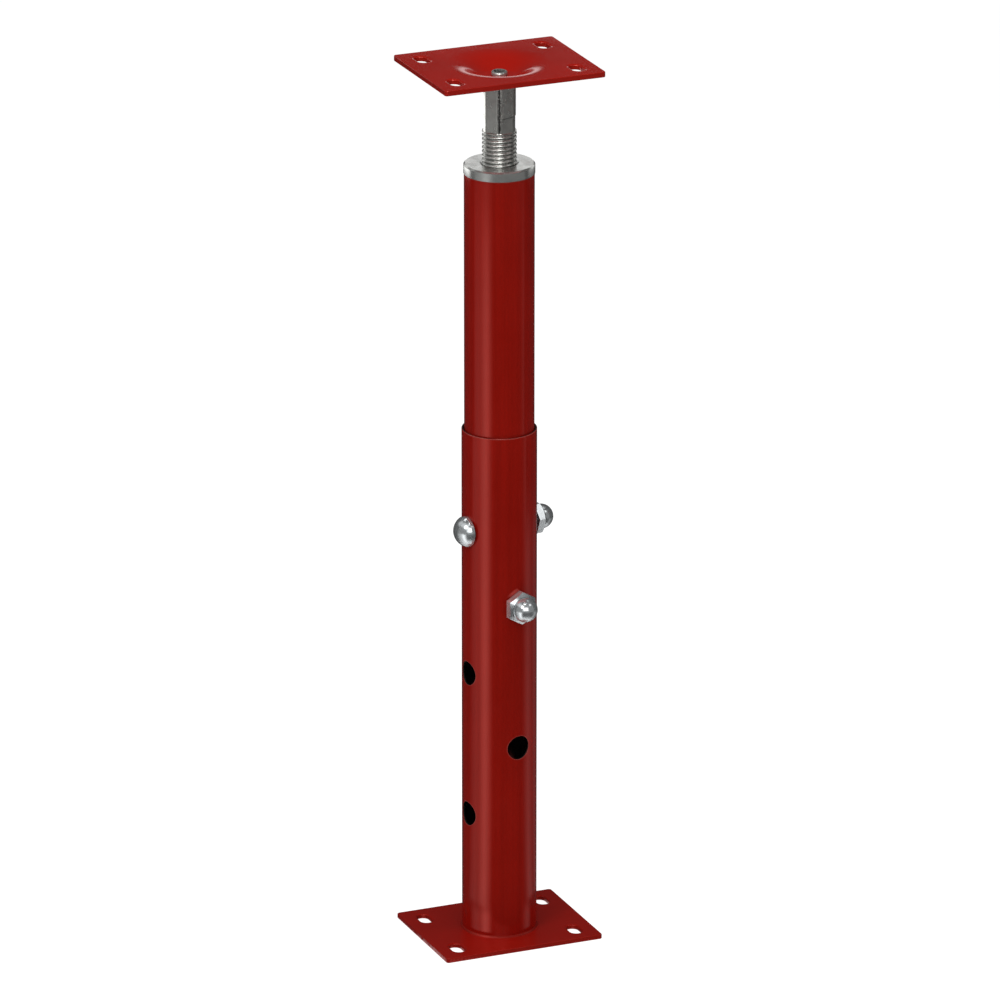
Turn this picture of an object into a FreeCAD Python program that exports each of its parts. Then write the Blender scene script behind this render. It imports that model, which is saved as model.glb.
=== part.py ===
"""Adjustable steel jack post: two pinned tubes, a jack screw in a threaded collar, and two slotted plates.

Millimetres, +Z up. The origin is the centre of the base plate's underside. The plates' short sides run along
X and their long sides along Y. The post is set as it stands in use: both bolts in, and the screw part way up.
"""
import FreeCAD, Part
import math
import os
import Sketcher

# Driving dimensions: name, value, meaning
SIZES = (
    ("plate_length", 172.0, "long side of both plates"),
    ("plate_width", 136.0, "short side of both plates"),
    ("plate_corner", 3.0, "corner radius of both plates, seen from above"),
    ("plate_edge", 0.6, "rounding of the plates' edges"),
    ("base_thickness", 4.8, "base plate thickness"),
    ("top_thickness", 5.6, "top plate thickness"),
    ("slot_width", 12.7, "fixing slot width"),
    ("slot_travel", 10.0, "straight part of a fixing slot, along the short side"),
    ("slot_lip", 2.0, "rounding of the slots' upper edges, where the punch drew them in"),
    ("slot_from_side", 25.0, "slot's centre to the plate's long edge"),
    ("slot_from_end", 21.0, "slot's centre to the plate's short edge"),
    ("floor_diameter", 28.0, "dish in the top plate: flat floor"),
    ("dish_depth", 12.0, "dish: plate's top face to the floor"),
    ("dish_slope", 27.0, "dish: slope of its wall, degrees"),
    ("lip_bend", 45.0, "dish: bend radius under the lip"),
    ("floor_bend", 10.0, "dish: bend radius round the floor"),
    ("tube_outer", 76.2, "outer tube diameter"),
    ("tube_wall", 1.9, "outer tube wall"),
    ("outer_length", 538.0, "outer tube length"),
    ("tube_clearance", 0.8, "radial clearance, inner tube in the outer tube"),
    ("inner_wall", 1.9, "inner tube wall"),
    ("inner_length", 486.7, "inner tube length"),
    ("tube_edge", 0.4, "chamfer on the tubes' ends"),
    ("hole_pitch", 76.2, "height from one hole to the next, which is turned by a right angle"),
    ("plain_foot", 120.0, "least height from the outer tube's foot to a hole"),
    ("first_hole", 104.0, "outer tube's top end to its first hole"),
    ("inner_end", 38.0, "inner tube's lower end to its lower hole"),
    ("bolt_turn", 9.0, "angle of the bolt holes from the plates' sides, degrees"),
    ("weld_leg", 2.0, "fillet weld round the outer tube's foot"),
    ("bolt_diameter", 20.0, "bolt shank"),
    ("bolt_clearance", 2.5, "radial clearance, bolt in the tubes' holes"),
    ("bolt_chamfer", 1.5, "bolt end chamfer"),
    ("bolt_past", 1.2, "bolt's end past the straight part of its nut"),
    ("head_overhang", 5.6, "bolt head's rim beyond the shank"),
    ("head_dome", 10.5, "rise of the bolt head's dome"),
    ("head_rim", 3.2, "straight rim of the bolt head"),
    ("dome_wall", 2.7, "cap nut's dome beyond the bolt"),
    ("dome_collar", 2.3, "straight part under the dome"),
    ("nut_shoulder", 2.3, "cap nut's flats beyond its dome"),
    ("nut_hex_height", 9.0, "cap nut's hexagon"),
    ("nut_chamfer", 30.0, "slope of the hexagon's chamfer round the dome, degrees"),
    ("dome_seam", 0.7, "groove round the dome's foot, its width and its depth"),
    ("nut_clearance", 0.1, "radial clearance, bolt in its nut"),
    ("nut_space", 1.5, "space in the nut beyond the bolt's end"),
    ("upper_nut_turn", 20.0, "upper cap nut, tightened past a corner straight up, degrees"),
    ("collar_overhang", 0.5, "threaded collar's flange beyond the inner tube"),
    ("collar_thickness", 10.0, "threaded collar's flange thickness"),
    ("collar_bevel", 1.6, "bevel on the flange's upper edge"),
    ("spigot_length", 14.0, "collar's spigot in the inner tube"),
    ("spigot_clearance", 0.3, "radial clearance, spigot in the inner tube"),
    ("bore_chamfer", 2.0, "chamfer at the mouth of the collar's bore"),
    ("screw_diameter", 34.9, "jack screw, over its thread"),
    ("turn_clearance", 0.1, "radial clearance of the turning screw"),
    ("thread_length", 150.0, "threaded length of the jack screw"),
    ("thread_chamfer", 2.4, "chamfer at the thread's foot, and the height of its run-out at the shank"),
    ("thread_out", 34.0, "thread standing above the collar"),
    ("shank_length", 51.0, "hexagonal shank, from the thread to its shoulder"),
    ("flat_depth", 1.6, "depth of the shank's flats from the thread's outside"),
    ("corner_step", 0.35, "shank's turned corners in from the thread's outside"),
    ("shank_angle", 37.0, "angle of the shank's corners from the plates' short sides, degrees"),
    ("neck_diameter", 12.6, "neck through the dish's floor"),
    ("neck_play", 0.3, "end play of the plate on the neck"),
    ("tip_overhang", 2.0, "peened tip that keeps the plate on, beyond the neck"),
    ("tip_height", 4.2, "peened tip height"),
    ("cup_wall", 2.8, "rim round the hollow in the tip"),
    ("cup_depth", 3.0, "depth of the hollow in the tip"),
)

doc = FreeCAD.newDocument("jack_post")
sheet = doc.addObject("Spreadsheet::Sheet", "sizes")
for row, (alias, number, meaning) in enumerate(SIZES, start=1):
    sheet.set("A%d" % row, alias)
    sheet.set("B%d" % row, str(number))
    sheet.set("C%d" % row, meaning)
    sheet.setAlias("B%d" % row, alias)
doc.recompute()

# Places that several pieces share, as expressions on the sheet
TUBE_RADIUS = "(sizes.tube_outer / 2)"
INNER_RADIUS = "(%s - sizes.tube_wall - sizes.tube_clearance)" % TUBE_RADIUS
BOLT_RADIUS = "(sizes.bolt_diameter / 2)"
DOME_RADIUS = "(%s + sizes.dome_wall)" % BOLT_RADIUS
BOLT_GRIP = "(sizes.nut_hex_height + sizes.dome_collar + sizes.bolt_past)"
OUTER_TOP = "(sizes.base_thickness + sizes.outer_length)"
UPPER_BOLT_LEVEL = "(%s - sizes.first_hole)" % OUTER_TOP
LOWER_BOLT_LEVEL = "(%s - sizes.hole_pitch)" % UPPER_BOLT_LEVEL
INNER_FOOT = "(%s - sizes.inner_end)" % LOWER_BOLT_LEVEL
INNER_TOP = "(%s + sizes.inner_length)" % INNER_FOOT
COLLAR_TOP = "(%s + sizes.collar_thickness)" % INNER_TOP
SCREW_FOOT = "(%s + sizes.thread_out - sizes.thread_length)" % COLLAR_TOP
SHOULDER = "(sizes.thread_length + sizes.shank_length)"
DISH_UNDERSIDE = "(%s + %s)" % (SCREW_FOOT, SHOULDER)
TOP_PLATE_FOOT = "(%s + sizes.dish_depth)" % DISH_UNDERSIDE
SCREW_RADIUS = "(sizes.screw_diameter / 2)"
# Slack with which two levels count as one
TOUCH = 1e-6


def value(expression):
    """Number that an expression on the sheet gives."""
    return float(sheet.evalExpression(expression))


def new_body(label):
    body = doc.addObject("PartDesign::Body", label)
    body.Label = label
    return body


def place(body, height, angle="0"):
    """Stand a body at a height on the post's axis, turned about that axis by an angle in degrees."""
    body.Placement = FreeCAD.Placement(
        FreeCAD.Vector(0, 0, value(height)), FreeCAD.Rotation(FreeCAD.Vector(0, 0, 1), value(angle)))
    body.setExpression("Placement.Base.z", height)
    if angle != "0":
        body.setExpression("Placement.Rotation.Angle", angle)


def new_sketch(body, plane_role, name, offset=None):
    """Sketch on one of the body's own origin planes, moved along the plane's normal by an expression."""
    sketch = body.newObject("Sketcher::SketchObject", name)
    plane = next(feature for feature in body.Origin.OriginFeatures if feature.Role == plane_role)
    sketch.AttachmentSupport = (plane, [""])
    sketch.MapMode = "FlatFace"
    if offset:
        sketch.setExpression("AttachmentOffset.Base.z", offset)
    return sketch


def drive(sketch, constraint, expression):
    """Add a constraint whose size is an expression on the sheet."""
    index = sketch.addConstraint(constraint)
    sketch.setExpression("Constraints[%d]" % index, expression)


def pin(sketch, geometry, end, x, y):
    """Hold one point of a sketch at the expressions x and y from the sketch's origin."""
    drive(sketch, Sketcher.Constraint("DistanceX", -1, 1, geometry, end, value(x)), x)
    drive(sketch, Sketcher.Constraint("DistanceY", -1, 1, geometry, end, value(y)), y)


def add_circle(sketch, x, y, radius):
    circle = Part.Circle(
        FreeCAD.Vector(value(x), value(y), 0), FreeCAD.Vector(0, 0, 1), value(radius))
    geometry = sketch.addGeometry(circle, False)
    pin(sketch, geometry, 3, x, y)
    drive(sketch, Sketcher.Constraint("Radius", geometry, value(radius)), radius)


def arc_between(start, end, radius, left):
    """Short arc between two points, with its centre on the left or the right of the way from start to end."""
    chord = end - start
    middle = (start + end) * 0.5
    away = math.sqrt(max(radius ** 2 - (chord.Length / 2) ** 2, 0.0))
    across = FreeCAD.Vector(-chord.y, chord.x, 0).normalize()
    centre = middle + across * (away if left else -away)
    first, last = (start, end) if left else (end, start)
    turn_first = math.atan2(first.y - centre.y, first.x - centre.x)
    turn_last = math.atan2(last.y - centre.y, last.x - centre.x)
    circle = Part.Circle(centre, FreeCAD.Vector(0, 0, 1), radius)
    return Part.ArcOfCircle(circle, turn_first, turn_last)


def add_outline(sketch, corners):
    """Closed outline through corners, each (x, y), or (x, y, radius, side) where an arc leads to the next.

    The side, left or right, is where the arc's centre lies on the way round.
    """
    points = [FreeCAD.Vector(value(corner[0]), value(corner[1]), 0) for corner in corners]
    ends = []
    for index, corner in enumerate(corners):
        start = points[index]
        end = points[(index + 1) % len(points)]
        if len(corner) == 2:
            geometry = sketch.addGeometry(Part.LineSegment(start, end), False)
            ends.append((geometry, 1, 2))
        else:
            left = corner[3] == "left"
            geometry = sketch.addGeometry(arc_between(start, end, value(corner[2]), left), False)
            ends.append((geometry, 1, 2) if left else (geometry, 2, 1))
    for index, corner in enumerate(corners):
        geometry, first, last = ends[index]
        after, after_first, _ = ends[(index + 1) % len(ends)]
        sketch.addConstraint(Sketcher.Constraint("Coincident", geometry, last, after, after_first))
        pin(sketch, geometry, first, corner[0], corner[1])
        if len(corner) > 2:
            drive(sketch, Sketcher.Constraint("Radius", geometry, value(corner[2])), corner[2])


def add_slot(sketch, x, y, travel, width):
    """Slot with a straight part along X and round ends, centred on the expressions x and y."""
    radius = "(%s / 2)" % width
    right, left = "%s + %s / 2" % (x, travel), "%s - %s / 2" % (x, travel)
    quarter = math.pi / 2
    ends = []
    for centre, turn in ((right, -quarter), (left, quarter)):
        middle = FreeCAD.Vector(value(centre), value(y), 0)
        circle = Part.Circle(middle, FreeCAD.Vector(0, 0, 1), value(radius))
        ends.append(sketch.addGeometry(Part.ArcOfCircle(circle, turn, turn + math.pi), False))
        pin(sketch, ends[-1], 3, centre, y)
    for first, second in (ends, ends[::-1]):
        start = sketch.getPoint(first, 2)
        side = sketch.addGeometry(Part.LineSegment(start, sketch.getPoint(second, 1)), False)
        sketch.addConstraint(Sketcher.Constraint("Tangent", first, 2, side, 1))
        sketch.addConstraint(Sketcher.Constraint("Tangent", side, 2, second, 1))
    sketch.addConstraint(Sketcher.Constraint("Equal", ends[0], ends[1]))
    drive(sketch, Sketcher.Constraint("Radius", ends[0], value(radius)), radius)


def add_pad(body, sketch, length, name):
    pad = body.newObject("PartDesign::Pad", name)
    pad.Profile = sketch
    pad.setExpression("Length", length)
    doc.recompute()


def add_turned(body, kind, sketch, axis, name):
    """Revolution or Groove of a sketch, a full turn about one of the sketch's own axes."""
    turned = body.newObject("PartDesign::" + kind, name)
    turned.Profile = sketch
    turned.ReferenceAxis = (sketch, [axis])
    turned.Angle = 360
    doc.recompute()


def cut_through(body, sketch, name):
    """Pocket both ways from the sketch, through everything."""
    pocket = body.newObject("PartDesign::Pocket", name)
    pocket.Profile = sketch
    pocket.SideType = "Symmetric"
    pocket.Type = "ThroughAll"
    doc.recompute()


def dress_edges(body, kind, size_name, size, wanted, name):
    """Fillet or Chamfer on the edges of the body so far that the function wanted picks."""
    tip = body.Tip
    names = ["Edge%d" % (index + 1) for index, edge in enumerate(tip.Shape.Edges) if wanted(edge)]
    dressed = body.newObject("PartDesign::" + kind, name)
    dressed.Base = (tip, names)
    dressed.setExpression(size_name, size)
    doc.recompute()


def upright(edge):
    """True for a straight edge along Z."""
    low, high = edge.Vertexes[0].Point, edge.Vertexes[-1].Point
    return abs(low.z - high.z) > TOUCH and math.hypot(low.x - high.x, low.y - high.y) < TOUCH


def level(edge):
    """True for an edge that lies in one horizontal plane."""
    return edge.BoundBox.ZLength < TOUCH


def corner_signs():
    """The four corners of a rectangle, as signs for its two sides."""
    return [(across, along) for across in "-+" for along in "-+"]


def build_plate(label, thickness):
    """Flat plate with rounded corners and four fixing slots; its underside is at the body's origin."""
    body = new_body(label)
    outline = new_sketch(body, "XY_Plane", label + "_outline")
    half_x = "sizes.plate_width / 2"
    half_y = "sizes.plate_length / 2"
    add_outline(outline, (
        ("-" + half_x, "-" + half_y), (half_x, "-" + half_y),
        (half_x, half_y), ("-" + half_x, half_y)))
    add_pad(body, outline, thickness, label + "_sheet")
    dress_edges(body, "Fillet", "Radius", "sizes.plate_corner", upright, label + "_corners")
    slots = new_sketch(body, "XY_Plane", label + "_slots")
    for across, along in corner_signs():
        add_slot(slots, across + "(%s - sizes.slot_from_side)" % half_x,
                 along + "(%s - sizes.slot_from_end)" % half_y, "sizes.slot_travel", "sizes.slot_width")
    cut_through(body, slots, label + "_slot_cuts")

    def on_outline(edge):
        """True for an edge that reaches the plate's sides."""
        box = edge.BoundBox
        reach_x, reach_y = max(-box.XMin, box.XMax), max(-box.YMin, box.YMax)
        return reach_x > value(half_x) - TOUCH or reach_y > value(half_y) - TOUCH

    def slot_rim(edge):
        return level(edge) and not on_outline(edge) and edge.BoundBox.ZMax > value(thickness) - TOUCH

    def other_edge(edge):
        return level(edge) and (on_outline(edge) or edge.BoundBox.ZMax < TOUCH)

    dress_edges(body, "Fillet", "Radius", "sizes.slot_lip", slot_rim, label + "_slot_lips")
    dress_edges(body, "Fillet", "Radius", "sizes.plate_edge", other_edge, label + "_edges")
    return body


def build_base_plate():
    body = build_plate("base_plate", "sizes.base_thickness")
    place(body, "0")
    return body


def build_top_plate():
    """Plate with a pressed dish, so that the screw's tip stays below the bearing face."""
    body = build_plate("top_plate", "sizes.top_thickness")
    floor = "(sizes.floor_diameter / 2)"
    thick = "sizes.top_thickness"
    lip_over, lip_under = "(sizes.lip_bend + %s)" % thick, "sizes.lip_bend"
    bend_over, bend_under = "sizes.floor_bend", "(sizes.floor_bend + %s)" % thick

    # The wall is the common tangent of the bends at the lip and round the floor
    sine, fall = "sin(sizes.dish_slope)", "(1 - cos(sizes.dish_slope))"
    bends = "(%s + %s)" % (lip_over, bend_over)
    wall = "((sizes.dish_depth - %s * %s) / tan(sizes.dish_slope))" % (bends, fall)
    mouth = "(%s + %s * %s + %s)" % (floor, bends, sine, wall)
    opening = new_sketch(body, "XY_Plane", "dish_opening")
    add_circle(opening, "0", "0", mouth)
    cut_through(body, opening, "dish_opening_cut")
    hole = "sizes.neck_diameter / 2 + sizes.turn_clearance"
    dish = new_sketch(body, "XZ_Plane", "dish_section")
    add_outline(dish, (
        (mouth, thick, lip_over, "left"),
        ("%s - %s * %s" % (mouth, lip_over, sine), "%s - %s * %s" % (thick, lip_over, fall)),
        ("%s + %s * %s" % (floor, bend_over, sine),
         "%s - sizes.dish_depth + %s * %s" % (thick, bend_over, fall), bend_over, "right"),
        (floor, "%s - sizes.dish_depth" % thick),
        (hole, "%s - sizes.dish_depth" % thick),
        (hole, "-sizes.dish_depth"),
        (floor, "-sizes.dish_depth", bend_under, "left"),
        ("%s + %s * %s" % (floor, bend_under, sine), "-sizes.dish_depth + %s * %s" % (bend_under, fall)),
        ("%s - %s * %s" % (mouth, lip_under, sine), "-%s * %s" % (lip_under, fall), lip_under, "right"),
        (mouth, "0")))
    add_turned(body, "Revolution", dish, "V_Axis", "dish")
    place(body, TOP_PLATE_FOOT)
    return body


def build_base_weld():
    """Fillet weld in the corner between the outer tube and the base plate."""
    body = new_body("base_weld")
    section = new_sketch(body, "XZ_Plane", "weld_section")
    add_outline(section, (
        (TUBE_RADIUS, "0"), ("%s + sizes.weld_leg" % TUBE_RADIUS, "0"), (TUBE_RADIUS, "sizes.weld_leg")))
    add_turned(body, "Revolution", section, "V_Axis", "weld_ring")
    place(body, "sizes.base_thickness")
    return body


def build_tube(label, radius, wall, length, hole_heights):
    """Tube with bolt holes right through it, each turned by a right angle from the one above."""
    body = new_body(label)
    ring = new_sketch(body, "XY_Plane", label + "_ring")
    add_circle(ring, "0", "0", radius)
    add_circle(ring, "0", "0", "%s - %s" % (radius, wall))
    add_pad(body, ring, length, label + "_wall")
    dress_edges(body, "Chamfer", "Size", "sizes.tube_edge", level, label + "_ends")
    for first, plane_role in enumerate(("XZ_Plane", "YZ_Plane")):
        holes = new_sketch(body, plane_role, "%s_holes_%d" % (label, first + 1))
        for height in hole_heights[first::2]:
            add_circle(holes, "0", height, "%s + sizes.bolt_clearance" % BOLT_RADIUS)
        cut_through(body, holes, "%s_hole_cuts_%d" % (label, first + 1))
    return body


def build_outer_tube():
    below_first = value("(sizes.outer_length - sizes.first_hole - sizes.plain_foot) / sizes.hole_pitch")
    heights = ["sizes.outer_length - sizes.first_hole - %d * sizes.hole_pitch" % index
               for index in range(int(below_first) + 1)]
    body = build_tube("outer_tube", TUBE_RADIUS, "sizes.tube_wall", "sizes.outer_length", heights)
    place(body, "sizes.base_thickness", "sizes.bolt_turn")
    return body


def build_inner_tube():
    heights = ["sizes.inner_end + sizes.hole_pitch", "sizes.inner_end"]
    body = build_tube("inner_tube", INNER_RADIUS, "sizes.inner_wall", "sizes.inner_length", heights)
    place(body, INNER_FOOT, "sizes.bolt_turn")
    return body


def build_bolt(label, height, angle):
    """Bolt across the post, its head outward along the body's X, seated on the outer tube."""
    body = new_body(label)
    section = new_sketch(body, "XZ_Plane", label + "_section")
    tail = "-(%s + %s)" % (TUBE_RADIUS, BOLT_GRIP)
    head = "(%s + sizes.head_overhang)" % BOLT_RADIUS
    dome_radius = "(%s ^ 2 + sizes.head_dome ^ 2) / (2 * sizes.head_dome)" % head
    add_outline(section, (
        (tail, "0"),
        ("%s + sizes.head_rim + sizes.head_dome" % TUBE_RADIUS, "0", dome_radius, "left"),
        ("%s + sizes.head_rim" % TUBE_RADIUS, head),
        (TUBE_RADIUS, head),
        (TUBE_RADIUS, BOLT_RADIUS),
        ("%s + sizes.bolt_chamfer" % tail, BOLT_RADIUS),
        (tail, "%s - sizes.bolt_chamfer" % BOLT_RADIUS)))
    add_turned(body, "Revolution", section, "H_Axis", label + "_blank")
    place(body, height, angle)
    return body


def build_cap_nut(label, height, angle, turn):
    """Domed cap nut with a blind hole, outward along the body's X, seated on the outer tube.

    Its hexagon has a corner straight up, turned about the bolt by the expression turn.
    """
    body = new_body(label)
    flat = "(%s + sizes.nut_shoulder)" % DOME_RADIUS
    corner = "(%s / cos(30))" % flat
    hexagon = new_sketch(body, "YZ_Plane", label + "_hexagon", TUBE_RADIUS)
    add_outline(hexagon, [
        ("-%s * sin(%s + %d)" % (corner, turn, around), "%s * cos(%s + %d)" % (corner, turn, around))
        for around in range(0, 360, 60)])
    add_pad(body, hexagon, "sizes.nut_hex_height", label + "_hex")

    face = "(%s + sizes.nut_hex_height)" % TUBE_RADIUS
    beyond = "(%s + sizes.nut_shoulder)" % corner
    bevel = new_sketch(body, "XZ_Plane", label + "_bevel_section")
    add_outline(bevel, (
        (face, DOME_RADIUS), (face, beyond),
        ("%s - (%s - %s) * tan(sizes.nut_chamfer)" % (face, beyond, DOME_RADIUS), beyond)))
    add_turned(body, "Groove", bevel, "H_Axis", label + "_bevel")

    seam = "(%s + sizes.dome_seam)" % face
    waist = "(%s - sizes.dome_seam)" % DOME_RADIUS
    dome = new_sketch(body, "XZ_Plane", label + "_dome_section")
    add_outline(dome, (
        (face, "0"),
        ("%s + sizes.dome_collar + %s" % (face, DOME_RADIUS), "0", DOME_RADIUS, "left"),
        ("%s + sizes.dome_collar" % face, DOME_RADIUS),
        (seam, DOME_RADIUS),
        (seam, waist),
        (face, waist)))
    add_turned(body, "Revolution", dome, "H_Axis", label + "_dome")

    bore = "(%s + sizes.nut_clearance)" % BOLT_RADIUS
    depth = "(%s + %s + sizes.nut_space)" % (TUBE_RADIUS, BOLT_GRIP)
    hole = new_sketch(body, "XZ_Plane", label + "_hole_section")
    add_outline(hole, ((TUBE_RADIUS, "0"), (depth, "0"), (depth, bore), (TUBE_RADIUS, bore)))
    add_turned(body, "Groove", hole, "H_Axis", label + "_hole")
    place(body, height, angle)
    return body


def build_threaded_collar():
    """Flanged collar that sits in the inner tube's top end and carries the jack screw."""
    body = new_body("threaded_collar")
    bore = "(%s + sizes.turn_clearance)" % SCREW_RADIUS
    flange = "(%s + sizes.collar_overhang)" % INNER_RADIUS
    spigot = "(%s - sizes.inner_wall - sizes.spigot_clearance)" % INNER_RADIUS
    thick = "sizes.collar_thickness"
    section = new_sketch(body, "XZ_Plane", "collar_section")
    add_outline(section, (
        (bore, "-sizes.spigot_length"), (spigot, "-sizes.spigot_length"), (spigot, "0"), (flange, "0"),
        (flange, "%s - sizes.collar_bevel" % thick), ("%s - sizes.collar_bevel" % flange, thick),
        ("%s + sizes.bore_chamfer" % bore, thick), (bore, "%s - sizes.bore_chamfer" % thick)))
    add_turned(body, "Revolution", section, "V_Axis", "collar_blank")
    place(body, INNER_TOP)
    return body


def build_jack_screw():
    """Screw with a hexagonal shank above its thread, and a peened neck that the top plate turns on."""
    body = new_body("jack_screw")
    corner = "(%s - sizes.corner_step)" % SCREW_RADIUS
    neck = "(sizes.neck_diameter / 2)"
    seat = "(%s + sizes.top_thickness + sizes.neck_play)" % SHOULDER
    tip = "(%s + sizes.tip_overhang)" % neck
    tip_top = "(%s + sizes.tip_height)" % seat
    cup = "(%s - sizes.cup_wall)" % tip
    section = new_sketch(body, "XZ_Plane", "screw_section")
    add_outline(section, (
        ("0", "0"),
        ("%s - sizes.thread_chamfer" % SCREW_RADIUS, "0"),
        (SCREW_RADIUS, "sizes.thread_chamfer"),
        (SCREW_RADIUS, "sizes.thread_length - sizes.thread_chamfer"),
        (corner, "sizes.thread_length"),
        (corner, SHOULDER),
        (neck, SHOULDER),
        (neck, seat),
        (tip, seat),
        (tip, tip_top),
        (cup, tip_top),
        ("%s - sizes.cup_depth / 2" % cup, "%s - sizes.cup_depth" % tip_top),
        ("0", "%s - sizes.cup_depth" % tip_top)))
    add_turned(body, "Revolution", section, "V_Axis", "screw_blank")

    flat = "(%s - sizes.flat_depth)" % SCREW_RADIUS
    point = "(%s / cos(30))" % flat
    flats = new_sketch(body, "XY_Plane", "shank_flats", SHOULDER)
    add_circle(flats, "0", "0", "sizes.screw_diameter")
    add_outline(flats, (
        (point, "0"), (point + " / 2", flat), ("-" + point + " / 2", flat),
        ("-" + point, "0"), ("-" + point + " / 2", "-" + flat), (point + " / 2", "-" + flat)))
    cut = body.newObject("PartDesign::Pocket", "shank_flat_cuts")
    cut.Profile = flats
    cut.setExpression("Length", "sizes.shank_length")
    doc.recompute()
    place(body, SCREW_FOOT, "sizes.shank_angle")
    return body


def check(bodies):
    """Stop if any object of the document failed, or if a piece is not one sound solid."""
    for item in doc.Objects:
        if "Invalid" in item.State or "Error" in item.State:
            raise RuntimeError("failed: " + item.Name)
    for body in bodies:
        shape = body.Shape
        if shape.isNull() or not shape.isValid() or len(shape.Solids) != 1:
            raise RuntimeError("not one sound solid: " + body.Label)


# The upper bolt runs across the plates' short sides and the lower one along them, both turned by bolt_turn
UPPER_HEAD = "sizes.bolt_turn - 90"
UPPER_NUT = "sizes.bolt_turn + 90"
LOWER_HEAD = "sizes.bolt_turn + 180"
LOWER_NUT = "sizes.bolt_turn"

pieces = [
    build_base_plate(),
    build_base_weld(),
    build_outer_tube(),
    build_inner_tube(),
    build_bolt("upper_bolt", UPPER_BOLT_LEVEL, UPPER_HEAD),
    build_cap_nut("upper_cap_nut", UPPER_BOLT_LEVEL, UPPER_NUT, "sizes.upper_nut_turn"),
    build_bolt("lower_bolt", LOWER_BOLT_LEVEL, LOWER_HEAD),
    build_cap_nut("lower_cap_nut", LOWER_BOLT_LEVEL, LOWER_NUT, "0"),
    build_threaded_collar(),
    build_jack_screw(),
    build_top_plate(),
]
doc.recompute()
check(pieces)
os.makedirs("parts", exist_ok=True)
for piece in pieces:
    piece.Shape.exportStep("parts/%s.step" % piece.Label)
    print(piece.Label, "volume %.0f mm3" % piece.Shape.Volume, piece.Shape.BoundBox)
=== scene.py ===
"""Looks for the jack post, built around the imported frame: red satin paint on the tubes, plates and weld,
bright plating on the bolts and nuts, a turned zinc-plated collar, and a steel screw with a rolled thread.
Metres, +Z up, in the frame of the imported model."""
import math
from collections import namedtuple

import bpy
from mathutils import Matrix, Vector, noise


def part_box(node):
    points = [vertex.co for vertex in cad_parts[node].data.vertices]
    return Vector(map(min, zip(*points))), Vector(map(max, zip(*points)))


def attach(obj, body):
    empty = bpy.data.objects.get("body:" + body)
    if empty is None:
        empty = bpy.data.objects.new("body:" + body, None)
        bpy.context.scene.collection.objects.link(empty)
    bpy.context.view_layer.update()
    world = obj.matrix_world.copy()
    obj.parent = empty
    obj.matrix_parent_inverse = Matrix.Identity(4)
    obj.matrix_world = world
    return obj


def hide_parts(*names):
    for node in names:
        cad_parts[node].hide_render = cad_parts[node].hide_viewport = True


MM = 0.001
FULL_TURN = 2 * math.pi
WHITE = (1.0, 1.0, 1.0, 1.0)
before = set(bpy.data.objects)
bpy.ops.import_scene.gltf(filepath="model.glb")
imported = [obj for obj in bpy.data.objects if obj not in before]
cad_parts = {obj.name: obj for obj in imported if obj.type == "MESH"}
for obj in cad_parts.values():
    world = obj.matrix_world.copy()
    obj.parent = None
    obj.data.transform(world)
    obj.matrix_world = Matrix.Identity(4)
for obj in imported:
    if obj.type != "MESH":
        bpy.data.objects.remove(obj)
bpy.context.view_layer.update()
scene = bpy.context.scene
scene.view_settings.view_transform = "Standard"


# Small helpers for node trees

def feed(tree, socket, source):
    """Link the socket to a source that is a socket too, or else set it."""
    if isinstance(source, bpy.types.NodeSocket):
        tree.links.new(source, socket)
    else:
        socket.default_value = source


def add_node(tree, kind, inputs=None, **settings):
    """New node with the given settings, and with its inputs linked or set."""
    made = tree.nodes.new(kind)
    for name, setting in settings.items():
        setattr(made, name, setting)
    for key, source in (inputs or {}).items():
        feed(tree, made.inputs[key], source)
    return made


def grain(tree, place, scale, detail, stretch=None):
    """Noise between 0 and 1 in object space; stretch scales the three axes first."""
    if stretch:
        place = add_node(tree, "ShaderNodeMapping", {"Vector": place, "Scale": stretch}).outputs["Vector"]
    made = add_node(tree, "ShaderNodeTexNoise", {"Vector": place, "Scale": scale, "Detail": detail})
    return made.outputs["Fac"]


def ramp_value(tree, source, low, high, to_low=0.0, to_high=1.0):
    """Source between low and high, mapped to a value between to_low and to_high."""
    made = add_node(tree, "ShaderNodeMapRange", {
        "Value": source, "From Min": low, "From Max": high, "To Min": to_low, "To Max": to_high})
    return made.outputs["Result"]


def blend_colour(tree, amount, first, second):
    """Colour between first and second, by an amount from 0 to 1."""
    made = add_node(tree, "ShaderNodeMix", {0: amount, 6: first, 7: second}, data_type="RGBA")
    return made.outputs[2]


def bump(tree, height, strength, distance, under=None):
    """Normal of a bumpy surface, on top of another such normal where one is given."""
    inputs = {"Height": height, "Strength": strength, "Distance": distance}
    if under:
        inputs["Normal"] = under
    return add_node(tree, "ShaderNodeBump", inputs).outputs["Normal"]


def calculate(tree, operation, first, second=0.0):
    return add_node(tree, "ShaderNodeMath", {0: first, 1: second}, operation=operation).outputs[0]


def axis_distance(tree, place):
    """Distance of the shaded point from the post's axis."""
    flat = add_node(tree, "ShaderNodeVectorMath", {0: place, 1: (1.0, 1.0, 0.0)}, operation="MULTIPLY")
    return add_node(tree, "ShaderNodeVectorMath", {0: flat.outputs[0]}, operation="LENGTH").outputs["Value"]


def new_material(name):
    """Material, its node tree, the object's own coordinates, and the shader."""
    material = bpy.data.materials.new(name)
    material.use_nodes = True
    tree = material.node_tree
    place = add_node(tree, "ShaderNodeTexCoord").outputs["Object"]
    return material, tree, place, tree.nodes["Principled BSDF"]


def connect(tree, shader, **sources):
    """Link or set inputs of the shader; an underscore stands for a space."""
    for name, source in sources.items():
        feed(tree, shader.inputs[name.replace("_", " ")], source)


# Materials

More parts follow.
